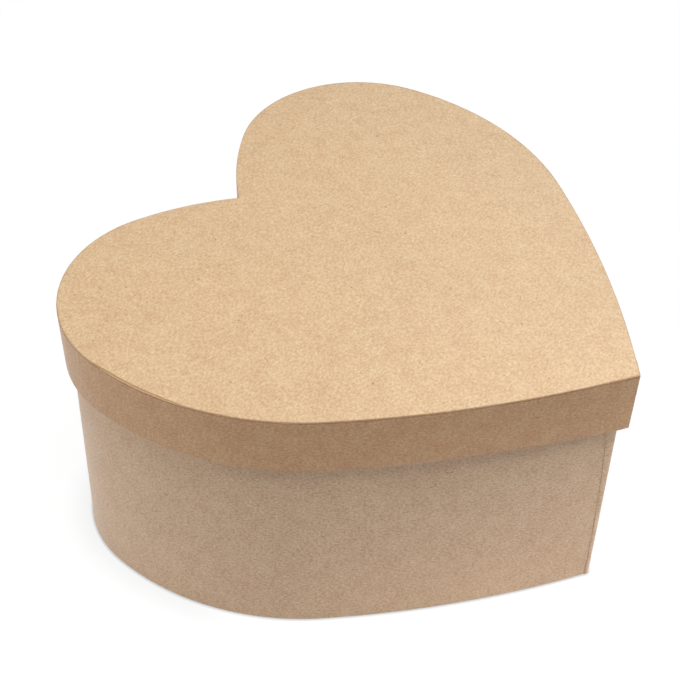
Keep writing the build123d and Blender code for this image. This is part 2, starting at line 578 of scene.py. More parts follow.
class PaperTree:
    """Geometry node tree that lays a paper between two lines along a path, notched, lapped and rippled."""

    NAME = "paper_round_board"
    LINES = ("Outer Line", "Inner Line", "Face", "Back")
    NUMBERS = {
        "Reach": 0.1, "Notch Pitch": 0.0, "Notch Mouth": 0.001, "Notch Root": 1.0,
        "Lap Reach": 0.002, "Lap Flare": 0.0, "Lap Wear": 0.0, "Lap Rub": 0.0,
        "Hem Dip": 0.0, "Dip Reach": 0.04, "Lean": 0.0,
        "Waviness": 0.0, "Relief": 0.0, "Wave Size": 0.04, "Seed": 0.0,
    }
    CHOICES = ("Has Ends", "Turned Over")
    MARK_OFFSET = 1.0
    MERGE = 0.008 * MM
    SHARP = radians(40)
    CLEFT_HOLD = (8 * MM, 35 * MM)
    TIP_HOLD = (12 * MM, 40 * MM)
    TIP_LEAN = 0.5
    RIPPLE_DETAIL = 1.0
    JAG_SIZE = 9 * MM
    JAG_DETAIL = 2.0
    FLARE_HEIGHT = 100 * MM
    FLARE_POWER = 3.0
    RUB_AND_SHADE_REACH = 0.6 * MM

    def __init__(self) -> None:
        """Builds the tree with its named inputs."""
        self.tree = bpy.data.node_groups.new(self.NAME, "GeometryNodeTree")
        self.wiring = Wiring(self.tree)
        self.declare()
        self.given = self.wiring.add("NodeGroupInput").outputs
        self.build()

    def declare(self) -> None:
        """Makes the sockets of the tree."""
        face = self.tree.interface
        for name in self.LINES:
            face.new_socket(name, in_out="INPUT", socket_type="NodeSocketObject")
        for name, value in self.NUMBERS.items():
            face.new_socket(name, in_out="INPUT", socket_type="NodeSocketFloat").default_value = value
        for name in self.CHOICES:
            face.new_socket(name, in_out="INPUT", socket_type="NodeSocketBool")
        face.new_socket("Paper", in_out="INPUT", socket_type="NodeSocketMaterial")
        face.new_socket("Mesh", in_out="OUTPUT", socket_type="NodeSocketGeometry")

    def geometry(self, name: str) -> bpy.types.NodeSocket:
        """Curve of one of the line inputs."""
        return self.wiring.add("GeometryNodeObjectInfo", {"Object": self.given[name]}).outputs["Geometry"]

    def count(self, curve: bpy.types.NodeSocket) -> bpy.types.NodeSocket:
        """Number of points on a curve."""
        size = self.wiring.add("GeometryNodeAttributeDomainSize", {0: curve}, component="CURVE")
        return size.outputs["Point Count"]

    def sample(self, curve: bpy.types.NodeSocket, value: bpy.types.NodeSocket, index: bpy.types.NodeSocket,
               kind: str = "FLOAT") -> bpy.types.NodeSocket:
        """Value at one point of a curve.

        Args:
            curve: The curve.
            value: Field that is read there.
            index: Which point.
            kind: Data type of the value.

        Returns:
            The value.
        """
        node = self.wiring.add("GeometryNodeSampleIndex", data_type=kind, domain="POINT", clamp=True)
        for name, socket in (("Geometry", curve), ("Value", value), ("Index", index)):
            self.wiring.feed(node.inputs[name], socket)
        return node.outputs[0]

    def build(self) -> None:
        """Wires the tree from its inputs to the finished mesh."""
        w, given = self.wiring, self.given
        outer, inner, face, back = (self.geometry(name) for name in self.LINES)
        position = w.add("GeometryNodeInputPosition").outputs[0]
        radius = w.add("GeometryNodeInputRadius").outputs[0]
        run = w.add("GeometryNodeSplineParameter").outputs["Length"]

        # Columns go round the heart, lines go along the face and back along the glued side
        columns, rows = self.count(outer), self.count(face)
        lines = w.sum("MULTIPLY_ADD", rows, 2.0, given["Has Ends"])
        grid = w.add("GeometryNodeMeshGrid", {"Vertices X": columns, "Vertices Y": lines})
        index = w.add("GeometryNodeInputIndex").outputs[0]
        column = w.sum("FLOOR", w.sum("DIVIDE", w.sum("ADD", index, 0.5), lines))
        line = w.sum("SUBTRACT", index, w.sum("MULTIPLY", column, lines))
        turn = w.sum("SUBTRACT", rows, 0.5)
        row = w.sum("MAXIMUM", w.sum("SUBTRACT", turn, w.sum("ABSOLUTE", w.sum("SUBTRACT", line, turn))), 0.0)
        behind = w.sum("GREATER_THAN", line, turn)
        behind = w.sum("MULTIPLY", behind, w.sum("LESS_THAN", line, w.sum("MULTIPLY_ADD", rows, 2.0, -0.5)))

        # Point of the path, with the glued side brought up to the face where an end is closed
        last = w.sum("SUBTRACT", columns, 1.0)
        at_end = w.sum("MAXIMUM", w.sum("LESS_THAN", column, 0.5), w.sum("COMPARE", column, last, 0.5))
        open_here = w.sum("SUBTRACT", 1.0, w.sum("MULTIPLY", at_end, given["Has Ends"]))
        face_at = self.sample(face, position, row, "FLOAT_VECTOR")
        through = w.vector("SUBTRACT", face_at, self.sample(back, position, row, "FLOAT_VECTOR"))
        lift = self.sample(outer, radius, column)
        layers = w.sum("SUBTRACT", lift, w.sum("MULTIPLY", behind, open_here))
        depth, height, _ = w.split(w.vector("ADD", face_at, w.scaled(through, layers)))

        # Place in the floor plane, held back to the side of a notch
        length = self.sample(outer, run, column)
        pitch, reach = given["Notch Pitch"], given["Reach"]
        off_notch = w.sum("SUBTRACT", w.sum("MODULO", length, pitch), w.sum("DIVIDE", pitch, 2.0))
        root = w.sum("DIVIDE", given["Notch Root"], reach)
        half_mouth = w.sum("DIVIDE", given["Notch Mouth"], 2.0)
        notch = w.ramp(w.sum("ABSOLUTE", off_notch), 0.0, half_mouth, root, 1.0)
        share = w.sum("MINIMUM", w.sum("DIVIDE", depth, reach), notch)
        outer_at = self.sample(outer, position, column, "FLOAT_VECTOR")
        inwards = w.vector("SUBTRACT", self.sample(inner, position, column, "FLOAT_VECTOR"), outer_at)
        x, y, _ = w.split(w.vector("ADD", outer_at, w.scaled(inwards, share)))
        flat_place = w.joined(x, y, height)

        # Lower edge that hangs deeper near the tip, and a wall that leans in except at the cleft
        total = w.add("GeometryNodeCurveLength", {0: outer}).outputs[0]
        from_tip = w.sum("MINIMUM", length, w.sum("SUBTRACT", total, length))
        from_cleft = w.sum("SUBTRACT", w.sum("DIVIDE", total, 2.0), from_tip)
        levels = w.add("GeometryNodeAttributeStatistic", {0: face, 2: w.split(position)[1]}).outputs
        lowness = w.ramp(height, levels["Min"], levels["Max"], 1.0, 0.0)
        near_tip = w.ramp(from_tip, 0.0, given["Dip Reach"], 1.0, 0.0, "SMOOTHSTEP")
        hang = w.sum("MULTIPLY", w.sum("MULTIPLY", near_tip, lowness), given["Hem Dip"])
        free = w.ramp(from_cleft, *self.CLEFT_HOLD, 0.0, 1.0, "SMOOTHSTEP")
        free = w.sum("MULTIPLY", free, w.ramp(from_tip, *self.TIP_HOLD, self.TIP_LEAN, 1.0, "SMOOTHSTEP"))
        leaning = w.sum("MULTIPLY", w.sum("MULTIPLY", free, lowness), given["Lean"])

        # Ripples of glued paper, outwards on a wall and upwards on a sheet
        waves = w.noise(flat_place, given["Wave Size"], self.RIPPLE_DETAIL, given["Seed"])
        ripple = w.ramp(waves, -1.0, 1.0, 0.0, 1.0)
        inset = w.sum("SUBTRACT", leaning, w.sum("MULTIPLY", ripple, given["Waviness"]))
        sideways = w.scaled(w.vector("NORMALIZE", inwards), inset)
        upwards = w.sum("SUBTRACT", w.sum("MULTIPLY", ripple, given["Relief"]), hang)

        # Upper end of a lap, slanted and ragged
        before_last = self.sample(outer, position, w.sum("SUBTRACT", last, 1.0), "FLOAT_VECTOR")
        end_at = self.sample(outer, position, last, "FLOAT_VECTOR")
        along = w.vector("NORMALIZE", w.vector("SUBTRACT", end_at, before_last))
        lap_start = w.sum("SUBTRACT", total, given["Lap Reach"])
        at_lap = w.ramp(length, lap_start, total, 0.0, 1.0)
        jag = w.noise(w.joined(0.0, 0.0, height), self.JAG_SIZE, self.JAG_DETAIL, given["Seed"])
        flare = w.sum("POWER", w.sum("DIVIDE", height, self.FLARE_HEIGHT), self.FLARE_POWER)
        slide = w.sum("MULTIPLY_ADD", jag, given["Lap Wear"], w.sum("MULTIPLY", flare, given["Lap Flare"]))
        slid = w.scaled(along, w.sum("MULTIPLY", slide, at_lap))

        # Paper moved into place, with the marks that its finish reads
        raised = w.joined(x, y, w.sum("ADD", height, upwards))
        moved = w.vector("ADD", w.vector("ADD", raised, sideways), slid)
        mesh = w.add("GeometryNodeSetPosition", {"Geometry": grid.outputs[0], "Position": moved}).outputs[0]
        worn = w.sum("SUBTRACT", self.sample(face, radius, row), self.MARK_OFFSET)
        # Dark line along the lap's upper end: rubbed paper and painted shade of its step onto the lower end
        rub_and_shade = w.ramp(length, w.sum("SUBTRACT", total, self.RUB_AND_SHADE_REACH), total, 0.0, given["Lap Rub"])
        worn = w.sum("ADD", worn, rub_and_shade)
        mesh = self.remember(mesh, w.joined(length, self.sample(face, run, row)), worn)
        self.finish(mesh)

    def remember(self, mesh: bpy.types.NodeSocket, place: bpy.types.NodeSocket, worn: bpy.types.NodeSocket,
                 ) -> bpy.types.NodeSocket:
        """Stores what the finishes read.

        Args:
            mesh: The laid paper.
            place: Place on the uncut strip, in metres.
            worn: How worn the paper is.

        Returns:
            The paper with its UV map and its attribute.
        """
        w = self.wiring
        on_points = w.add("GeometryNodeFieldOnDomain", {0: place}, data_type="FLOAT_VECTOR", domain="POINT")
        stored = w.add("GeometryNodeStoreNamedAttribute", data_type="FLOAT2", domain="CORNER")
        for name, value in (("Geometry", mesh), ("Name", Finish.STRIP_MAP), ("Value", on_points.outputs[0])):
            w.feed(stored.inputs[name], value)
        marked = w.add("GeometryNodeStoreNamedAttribute", data_type="FLOAT", domain="POINT")
        for name, value in (("Geometry", stored.outputs[0]), ("Name", Finish.WORN), ("Value", worn)):
            w.feed(marked.inputs[name], value)
        return marked.outputs[0]

    def finish(self, mesh: bpy.types.NodeSocket) -> None:
        """Closes the seams, turns the faces outwards, smooths them and sets the material.

        Args:
            mesh: The marked paper.
        """
        w, given = self.wiring, self.given
        mesh = w.add("GeometryNodeMergeByDistance", {"Geometry": mesh, "Distance": self.MERGE}).outputs[0]
        mesh = w.add("GeometryNodeFlipFaces", {0: mesh, "Selection": given["Turned Over"]}).outputs[0]
        mesh = w.add("GeometryNodeSetShadeSmooth", {0: mesh, "Shade Smooth": True}, domain="FACE").outputs[0]
        bend = w.add("GeometryNodeInputMeshEdgeAngle").outputs["Unsigned Angle"]
        creased = w.sum("GREATER_THAN", bend, self.SHARP)
        feeds = {0: mesh, "Selection": creased, "Shade Smooth": False}
        mesh = w.add("GeometryNodeSetShadeSmooth", feeds, domain="EDGE").outputs[0]
        mesh = w.add("GeometryNodeRealizeInstances", {0: mesh}).outputs[0]
        mesh = w.add("GeometryNodeSetMaterial", {"Geometry": mesh, "Material": given["Paper"]}).outputs[0]
        w.add("NodeGroupOutput", {0: mesh})

    def socket(self, name: str) -> str:
        """Identifier of an input by its name."""
        return next(item.identifier for item in self.tree.interface.items_tree
                    if item.name == name and item.in_out == "INPUT")

    def lay(self, name: str, lines: Mapping[str, bpy.types.Object], material: bpy.types.Material,
            **values: Any) -> bpy.types.Object:
        """Lays one paper and leaves it as a plain mesh.

        Args:
            name: Name of the piece.
            lines: Curves for the line inputs; they are used up.
            material: Material of the paper.
            values: Other inputs, their names with underscores for spaces.

        Returns:
            The piece.
        """
        piece = bpy.data.objects.new(name, bpy.data.meshes.new(name))
        bpy.context.scene.collection.objects.link(piece)
        modifier = piece.modifiers.new(name, "NODES")
        modifier.node_group = self.tree
        named = {key.replace("_", " ").title(): value for key, value in values.items()}
        for key, value in {**lines, **named, "Paper": material}.items():
            modifier[self.socket(key)] = value
        depsgraph = bpy.context.evaluated_depsgraph_get()
        mesh = bpy.data.meshes.new_from_object(piece.evaluated_get(depsgraph))
        mesh.name = name
        piece.modifiers.clear()
        piece.data = mesh
        for line in lines.values():
            curve = line.data
            bpy.data.objects.remove(line)
            bpy.data.curves.remove(curve)
        return piece


def poly_line(name: str, points: Sequence[Vector], radii: Sequence[float]) -> bpy.types.Object:
    """Open curve of straight stretches.

    Args:
        name: Name of the curve.
        points: Its points in the floor plane.
        radii: Number carried at each point.

    Returns:
        The curve's object.
    """
    curve = bpy.data.curves.new(name, "CURVE")
    curve.dimensions = "3D"
    spline = curve.splines.new("POLY")
    spline.points.add(len(points) - 1)
    for knot, point, radius in zip(spline.points, points, radii):
        knot.co = (point.x, point.y, 0.0, 1.0)
        knot.radius = radius
    line = bpy.data.objects.new(name, curve)
    bpy.context.scene.collection.objects.link(line)
    return line


class Cloud(NamedTuple):
    """Soft noise: the size of its features, its octaves of finer noise and which noise it is."""

    size: float
    detail: float
    seed: float


class Scatter(NamedTuple):
    """Scattered spots: the spacing of their cells, their largest radius and the share of cells with one."""

    spacing: float
    radius: float
    share: float


class NodeGroups:
    """Shader node groups that several finishes share, each built once."""

    BLOTCHES = Cloud(38 * MM, 2.0, 1.0)
    MOTTLING = Cloud(4.5 * MM, 3.0, 2.0)
    LYING_FIBRES = Cloud(0.6 * MM, 0.0, 3.0)
    SPECKLE = Cloud(0.8 * MM, 1.0, 4.0)
    WARMTH = Cloud(7 * MM, 1.0, 5.0)
    RUBBING = Cloud(18 * MM, 2.0, 8.0)
    LYING_SQUEEZE = (0.4, 1.0, 1.0)
    LYING_SHARE = 0.35
    SPECKLE_SHARE = 0.65
    GRAIN_HUE = (0.69, 1.2, 1.45)
    FLECKS = Scatter(9 * MM, 0.5 * MM, 0.3)
    STRAY_FIBRES = Scatter(8 * MM, 0.22 * MM, 0.3)
    FIBRE_TURNS = (radians(20), radians(-55), radians(80))
    FIBRE_STRETCH = (8.0, 1.0, 1.0)
    ROUGHNESS_DRIFT = 0.06
    GRAIN_RELIEF = 0.6
    MOTTLING_RELIEF = 0.4
    RUBBED_FROM = -0.5
    RUBBED_FULL = 0.4
    LEAST_RUB = 0.35

    def __init__(self) -> None:
        """Builds the groups."""
        self.fibres = self.fibre_group()
        self.wear = self.wear_group()

    @staticmethod
    def start(name: str, inputs: Mapping[str, str], outputs: Mapping[str, str],
              ) -> tuple[bpy.types.NodeTree, Wiring]:
        """Makes a shader group with its sockets.

        Args:
            name: Name of the group.
            inputs: Type of each input by its name.
            outputs: Type of each output by its name.

        Returns:
            The group and the wiring for its nodes.
        """
        group = bpy.data.node_groups.new(name, "ShaderNodeTree")
        for in_out, sockets in (("INPUT", inputs), ("OUTPUT", outputs)):
            for socket, kind in sockets.items():
                group.interface.new_socket(socket, in_out=in_out, socket_type=f"NodeSocket{kind}")
        return group, Wiring(group)

    def fibre_group(self) -> bpy.types.NodeTree:
        """Pulp of kraft paper or board: blotches, mottling, lying fibres and stray flecks.

        Returns:
            The group, with a colour, a roughness and a height.
        """
        inputs = {"Place": "Vector", "Pulp": "Color", "Fibre": "Color",
                  "Blotches": "Float", "Mottling": "Float", "Grain": "Float",
                  "Flecks": "Float", "Tint": "Float", "Roughness": "Float"}
        outputs = {"Color": "Color", "Roughness": "Float", "Height": "Float"}
        group, w = self.start("pulp_fibres", inputs, outputs)
        given = w.add("NodeGroupInput").outputs
        place = given["Place"]
        blotches = w.noise(place, *self.BLOTCHES)
        mottling = w.noise(place, *self.MOTTLING)
        lying = w.noise(w.vector("MULTIPLY", place, self.LYING_SQUEEZE), *self.LYING_FIBRES)
        speckle = w.sum("MULTIPLY", w.noise(place, *self.SPECKLE), self.SPECKLE_SHARE)
        grain = w.sum("MULTIPLY_ADD", lying, self.LYING_SHARE, speckle)
        tone = w.sum("MULTIPLY_ADD", blotches, given["Blotches"], 1.0)
        fine = w.sum("MULTIPLY_ADD", mottling, given["Mottling"], w.sum("MULTIPLY", grain, given["Grain"]))
        tone = w.vector("ADD", w.scaled(self.GRAIN_HUE, fine), tone)
        tint = w.sum("MULTIPLY", w.noise(place, *self.WARMTH), given["Tint"])
        warmth = w.joined(w.sum("ADD", 1.0, tint), 1.0, w.sum("SUBTRACT", 1.0, tint))
        pulp = w.vector("MULTIPLY", w.vector("MULTIPLY", given["Pulp"], tone), warmth)
        flecks = w.spots(place, *self.FLECKS)
        for turn in self.FIBRE_TURNS:
            feeds = {"Vector": place, "Rotation": (0.0, 0.0, turn), "Scale": self.FIBRE_STRETCH}
            along = w.add("ShaderNodeMapping", feeds, vector_type="TEXTURE").outputs[0]
            flecks = w.sum("MAXIMUM", flecks, w.spots(along, *self.STRAY_FIBRES))
        flecked = w.blend(w.sum("MULTIPLY", flecks, given["Flecks"]), pulp, given["Fibre"])
        rough = w.sum("MULTIPLY_ADD", mottling, self.ROUGHNESS_DRIFT, given["Roughness"], clamp=True)
        relief = w.sum("MULTIPLY", mottling, self.MOTTLING_RELIEF)
        height = w.sum("MULTIPLY_ADD", grain, self.GRAIN_RELIEF, relief)
        w.add("NodeGroupOutput", {"Color": flecked, "Roughness": rough, "Height": height})
        return group

    def wear_group(self) -> bpy.types.NodeTree:
        """Worn paper and painted light: darker where a fold is stretched and rubbed and along a lap's edge
        with painted shade, paler where a turned edge is fluffed and painted with sheen.

        Returns:
            The group, with a colour.
        """
        inputs = {"Color": "Color", "Place": "Vector", "Worn": "Float", "Burnish": "Color", "Fluff_And_Sheen": "Color"}
        group, w = self.start("worn_paper", inputs, {"Color": "Color"})
        given = w.add("NodeGroupInput").outputs
        rubbing = w.noise(given["Place"], *self.RUBBING)
        patchy = w.ramp(rubbing, self.RUBBED_FROM, self.RUBBED_FULL, self.LEAST_RUB, 1.0)
        rubbed = w.vector("MULTIPLY", given["Color"], given["Burnish"])
        rub_and_shade = w.sum("MULTIPLY", patchy, w.sum("MAXIMUM", given["Worn"], 0.0))
        # Paler turned edge: fluffed paper and painted sheen
        fluff_and_sheen = w.sum("MULTIPLY", given["Worn"], -1.0, clamp=True)
        w.add("NodeGroupOutput", {0: w.blend(fluff_and_sheen, w.blend(rub_and_shade, given["Color"], rubbed), given["Fluff_And_Sheen"])})
        return group


@dataclass(frozen=True)
class Finish:
    """Look of one paper, board or tape.

    Attributes:
        name: Name of the material.
        pulp: Its main colour.
        fibre: Colour of its stray flecks.
        lay: What its grain follows.
        blotches: Strength of the large soft blotches.
        mottling: Strength of the cloudy mottling.
        grain: Strength of the fibres.
        flecks: Strength of the flecks.
        tint: Strength of the drift between warm and cool.
        roughness: Roughness of the surface.
        gloss: Specular level.
        sheen: Pale bloom of raised fibres at a low angle.
        sheen_width: Roughness of the bloom.
        burnish: What the colour is multiplied by on a worn fold, and on the painted shade along a lap's edge.
        fluff_and_sheen: Colour of a fluffed turned edge, made paler also as painted sheen like the face's.
        bump: Depth of the surface's own relief.
    """

    STRIP_MAP = "strip"
    WORN = "worn"

    name: str
    pulp: Colour
    fibre: Colour = (0.2, 0.12, 0.07)
    lay: Lay = Lay.SHEET
    blotches: float = 0.06
    mottling: float = 0.19
    grain: float = 0.6
    flecks: float = 0.7
    tint: float = 0.008
    roughness: float = 0.5
    gloss: float = 0.4
    sheen: float = 0.0
    sheen_width: float = 0.35
    burnish: Colour = (0.42, 0.3, 0.2)
    fluff_and_sheen: Colour = (0.5, 0.34, 0.18)
    bump: float = 0.03 * MM

    def material(self, groups: NodeGroups) -> bpy.types.Material:
        """Makes the material.

        Args:
            groups: The shared node groups.

        Returns:
            The material.
        """
        material = bpy.data.materials.new(self.name)
        material.use_nodes = True
        material.node_tree.nodes.clear()
        w = Wiring(material.node_tree)
        if self.lay is Lay.STRIP:
            place = w.add("ShaderNodeUVMap", uv_map=self.STRIP_MAP).outputs[0]
        else:
            place = w.add("ShaderNodeTexCoord").outputs["Object"]
        feeds = {"Place": place, "Pulp": (*self.pulp, 1.0), "Fibre": (*self.fibre, 1.0),
                 "Blotches": self.blotches, "Mottling": self.mottling, "Grain": self.grain,
                 "Flecks": self.flecks, "Tint": self.tint, "Roughness": self.roughness}
        fibres = self.group(w, groups.fibres, feeds)
        worn = w.add("ShaderNodeAttribute", attribute_name=self.WORN).outputs["Fac"]
        feeds = {"Color": fibres["Color"], "Place": place, "Worn": worn, "Burnish": (*self.burnish, 1.0),
                 "Fluff_And_Sheen": (*self.fluff_and_sheen, 1.0)}
        colour = self.group(w, groups.wear, feeds)["Color"]
        bump = w.add("ShaderNodeBump", {"Height": fibres["Height"], "Distance": self.bump, "Strength": 1.0})
        feeds = {"Base Color": colour, "Roughness": fibres["Roughness"], "Normal": bump.outputs[0],
                 "Specular IOR Level": self.gloss, "Sheen Weight": self.sheen,
                 "Sheen Roughness": self.sheen_width}
        shader = w.add("ShaderNodeBsdfPrincipled", feeds)
        w.add("ShaderNodeOutputMaterial", {"Surface": shader.outputs[0]})
        return material

    @staticmethod
    def group(wiring: Wiring, tree: bpy.types.NodeTree, feeds: Mapping[str, Any]) -> Any:
        """Places a shared group in a material.

        Args:
            wiring: The material's wiring.
            tree: The group.
            feeds: What goes into its inputs.

        Returns:
            The group's outputs.
        """
        node = wiring.add("ShaderNodeGroup", node_tree=tree)
        for name, value in feeds.items():
            wiring.feed(node.inputs[name], value)
        return node.outputs


LID_RIM = Finish("lid_rim_kraft", (0.517, 0.307, 0.165), lay=Lay.STRIP, grain=0.68, gloss=0.15,
                 sheen=0.3, sheen_width=0.37)
LID_FACE = Finish("lid_face_kraft", (0.643, 0.449, 0.265), blotches=0.03, mottling=0.15, grain=0.49,
                  roughness=0.42, gloss=0.3)
BASE_WALL = Finish("base_wall_kraft", (0.542, 0.362, 0.221), lay=Lay.STRIP, grain=0.74, gloss=0.5,
                   sheen=0.28)
BASE_BOTTOM = Finish("base_bottom_kraft", (0.62, 0.385, 0.216), gloss=0.6)
WALL_LINING = Finish("wall_lining_kraft", (0.62, 0.39, 0.215), lay=Lay.STRIP, gloss=0.3)
FLAT_LINING = Finish("flat_lining_kraft", (0.62, 0.39, 0.215), gloss=0.3)
GREYBOARD = Finish("greyboard", (0.36, 0.33, 0.29), mottling=0.16, grain=0.4, flecks=0.0, roughness=0.8,
                   gloss=0.2)
GUMMED_TAPE = Finish("gummed_tape", (0.5, 0.33, 0.19), grain=0.2, flecks=0.0, roughness=0.42, gloss=0.5)


@dataclass
class Workshop:
    """What every sub-assembly is made with."""

    outline: HeartOutline
    tree: PaperTree
    groups: NodeGroups
    made: dict[Finish, bpy.types.Material] = field(default_factory=dict)

    def material(self, finish: Finish) -> bpy.types.Material:
        """Material of a finish, made the first time it is asked for.

        Args:
            finish: The finish.

        Returns:
            Its material.
        """
        if finish not in self.made:
            self.made[finish] = finish.material(self.groups)
        return self.made[finish]

    def strip(self, name: str, path: PaperPath, ends: Union[Lap, ButtJoint], inset: float, reach: float,
              fold: float, finish: Finish, **values: Any) -> bpy.types.Object:
        """Lays a strip of paper round the heart.

        Args:
            name: Name of the piece.
            path: Its route over the board.
            ends: How its ends meet at the tip.
            inset: Inset of the line that depths are counted from.
            reach: Greatest depth of the path.
            fold: Radius of the fold at the tip.
            finish: Its finish.
            values: Further inputs of the tree.

        Returns:
            The piece.
        """
        stations = ends.stations(self.outline, inset, fold)
        lifts = [station.lift for station in stations]
        outer = self.outline.line(stations, inset, fold)
        inner = self.outline.line(stations, inset + reach, max(fold - reach, 0.0))
        return self.tree.lay(name, self.lines(outer, inner, lifts, path), self.material(finish),
                             has_ends=True, reach=reach, **ends.inputs(), **values)

    def sheet(self, name: str, edge: Sequence[Vector], path: PaperPath, reach: float, finish: Finish,
              **values: Any) -> bpy.types.Object:
        """Lays a flat heart of paper.

        Args:
            name: Name of the piece.
            edge: Points of its edge, right round.
            path: Its route from middle to edge or edge to middle.
            reach: Depth that stands for the way from the edge to the middle.
            finish: Its finish.
            values: Further inputs of the tree.

        Returns:
            The piece.
        """
        middle = sum((Vector(point) for point in edge), Vector((0.0, 0.0))) / len(edge)
        lines = self.lines(edge, [middle] * len(edge), [0.0] * len(edge), path)
        return self.tree.lay(name, lines, self.material(finish), has_ends=False, reach=reach, **values)

    @staticmethod
    def lines(outer: Sequence[Vector], inner: Sequence[Vector], lifts: Sequence[float], path: PaperPath,
              ) -> dict[str, bpy.types.Object]:
        """Curves for the line inputs of the tree.

        Args:
            outer: Points of the outer line.
            inner: Points of the inner line.
            lifts: Layers of paper below at each point of the outer line.
            path: Route of the paper.

        Returns:
            The curve for each input.
        """
        marks = [worn + PaperTree.MARK_OFFSET for worn in path.worn]
        drawn = ((outer, lifts), (inner, lifts), (path.face, marks), (path.back, marks))
        return {name: poly_line(name.lower().replace(" ", "_"), *line)
                for name, line in zip(PaperTree.LINES, drawn)}

    def edge_of(self, node: str) -> list[Vector]:
        """Points right round the edge of a flat node of the frame."""
        return self.outline.line(self.outline.ring(), inset_of(node))

    def dress(self, node: str, finish: Finish) -> None:
        """Gives a node of the frame its finish.

        Args:
            node: The node, which keeps its shape.
            finish: The finish.
        """
        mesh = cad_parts[node].data
        mesh.materials.clear()
        mesh.materials.append(self.material(finish))
        LOG.info("%s keeps its shape and is finished as %s", node, finish.name)


def settle(piece: bpy.types.Object, body: Body, node: str) -> None:
    """Joins a piece to the frame.

    Args:
        piece: The piece.
        body: Body that it rides on.
        node: Node of the frame that it stands for.
    """
    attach(piece, body.value)
    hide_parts(node)
    LOG.info("%s stands for %s on %s, %d faces", piece.name, node, body.value, len(piece.data.polygons))


@dataclass
class Papers:
    """Sizes that the papers of the lid and the base share."""

    thickness: float
    board: float
    turned_edge: float = 10 * MM
    notch_pitch: float = 16 * MM
    notch_root: float = 3 * MM
    notch_mouth: float = 2.4 * MM
    corner: float = 0.3 * MM
    corner_rows: int = 4
    ripple: float = 0.1 * MM
    ripple_size: float = 45 * MM
    sheet_relief: float = 0.05 * MM
    sheet_reach: float = 100 * MM
    sheet_edge: float = 2 * MM
    rubbed_edge: float = 0.5 * MM
    sheet_rows: int = 24
    edge_rows: int = 3
    rim_rows: int = 2
    turned_rows: int = 3
    turned_margin: float = 1 * MM

    def over_rim(self) -> float:
        """Thickness of a board with paper on both of its faces."""
        return self.board + 2 * self.thickness

    def notches(self) -> dict[str, float]:
        """Inputs of the tree for a notched edge."""
        return {"notch_pitch": self.notch_pitch, "notch_root": self.notch_root,
                "notch_mouth": self.notch_mouth}

    def turn(self, path: PaperPath, worn: float) -> PaperPath:
        """Takes a path round a corner of its board."""
        return path.fold(self.corner, QUARTER_TURN, self.corner_rows, worn)

    def cross_rim(self, path: PaperPath, worn: float) -> PaperPath:
        """Takes a path across the edge of a papered band and round its far corner."""
        return self.turn(path.run(self.over_rim() - 2 * self.corner, self.rim_rows), worn)

    def face_up(self, top: float, worn: float = 0.0) -> PaperPath:
        """Route of a sheet that shows its upper side, from its middle to its edge.

        Args:
            top: Level of the upper side.
            worn: How worn the sheet's edge is.

        Returns:
            The path.
        """
        path = PaperPath(self.sheet_reach, top, Heading.OUTWARD, self.thickness)
        path.run(self.sheet_reach - self.sheet_edge, self.sheet_rows)
        path.run(self.sheet_edge - self.rubbed_edge, self.edge_rows)
        return path.run(self.rubbed_edge, 1, worn=worn)

    def face_down(self, bottom: float) -> PaperPath:
        """Route of a sheet that shows its lower side, from its edge to its middle.

        Args:
            bottom: Level of the lower side.

        Returns:
            The path.
        """
        path = PaperPath(0.0, bottom, Heading.INWARD, self.thickness)
        path.run(self.sheet_edge, self.edge_rows)
        return path.run(self.sheet_reach - self.sheet_edge, self.sheet_rows)


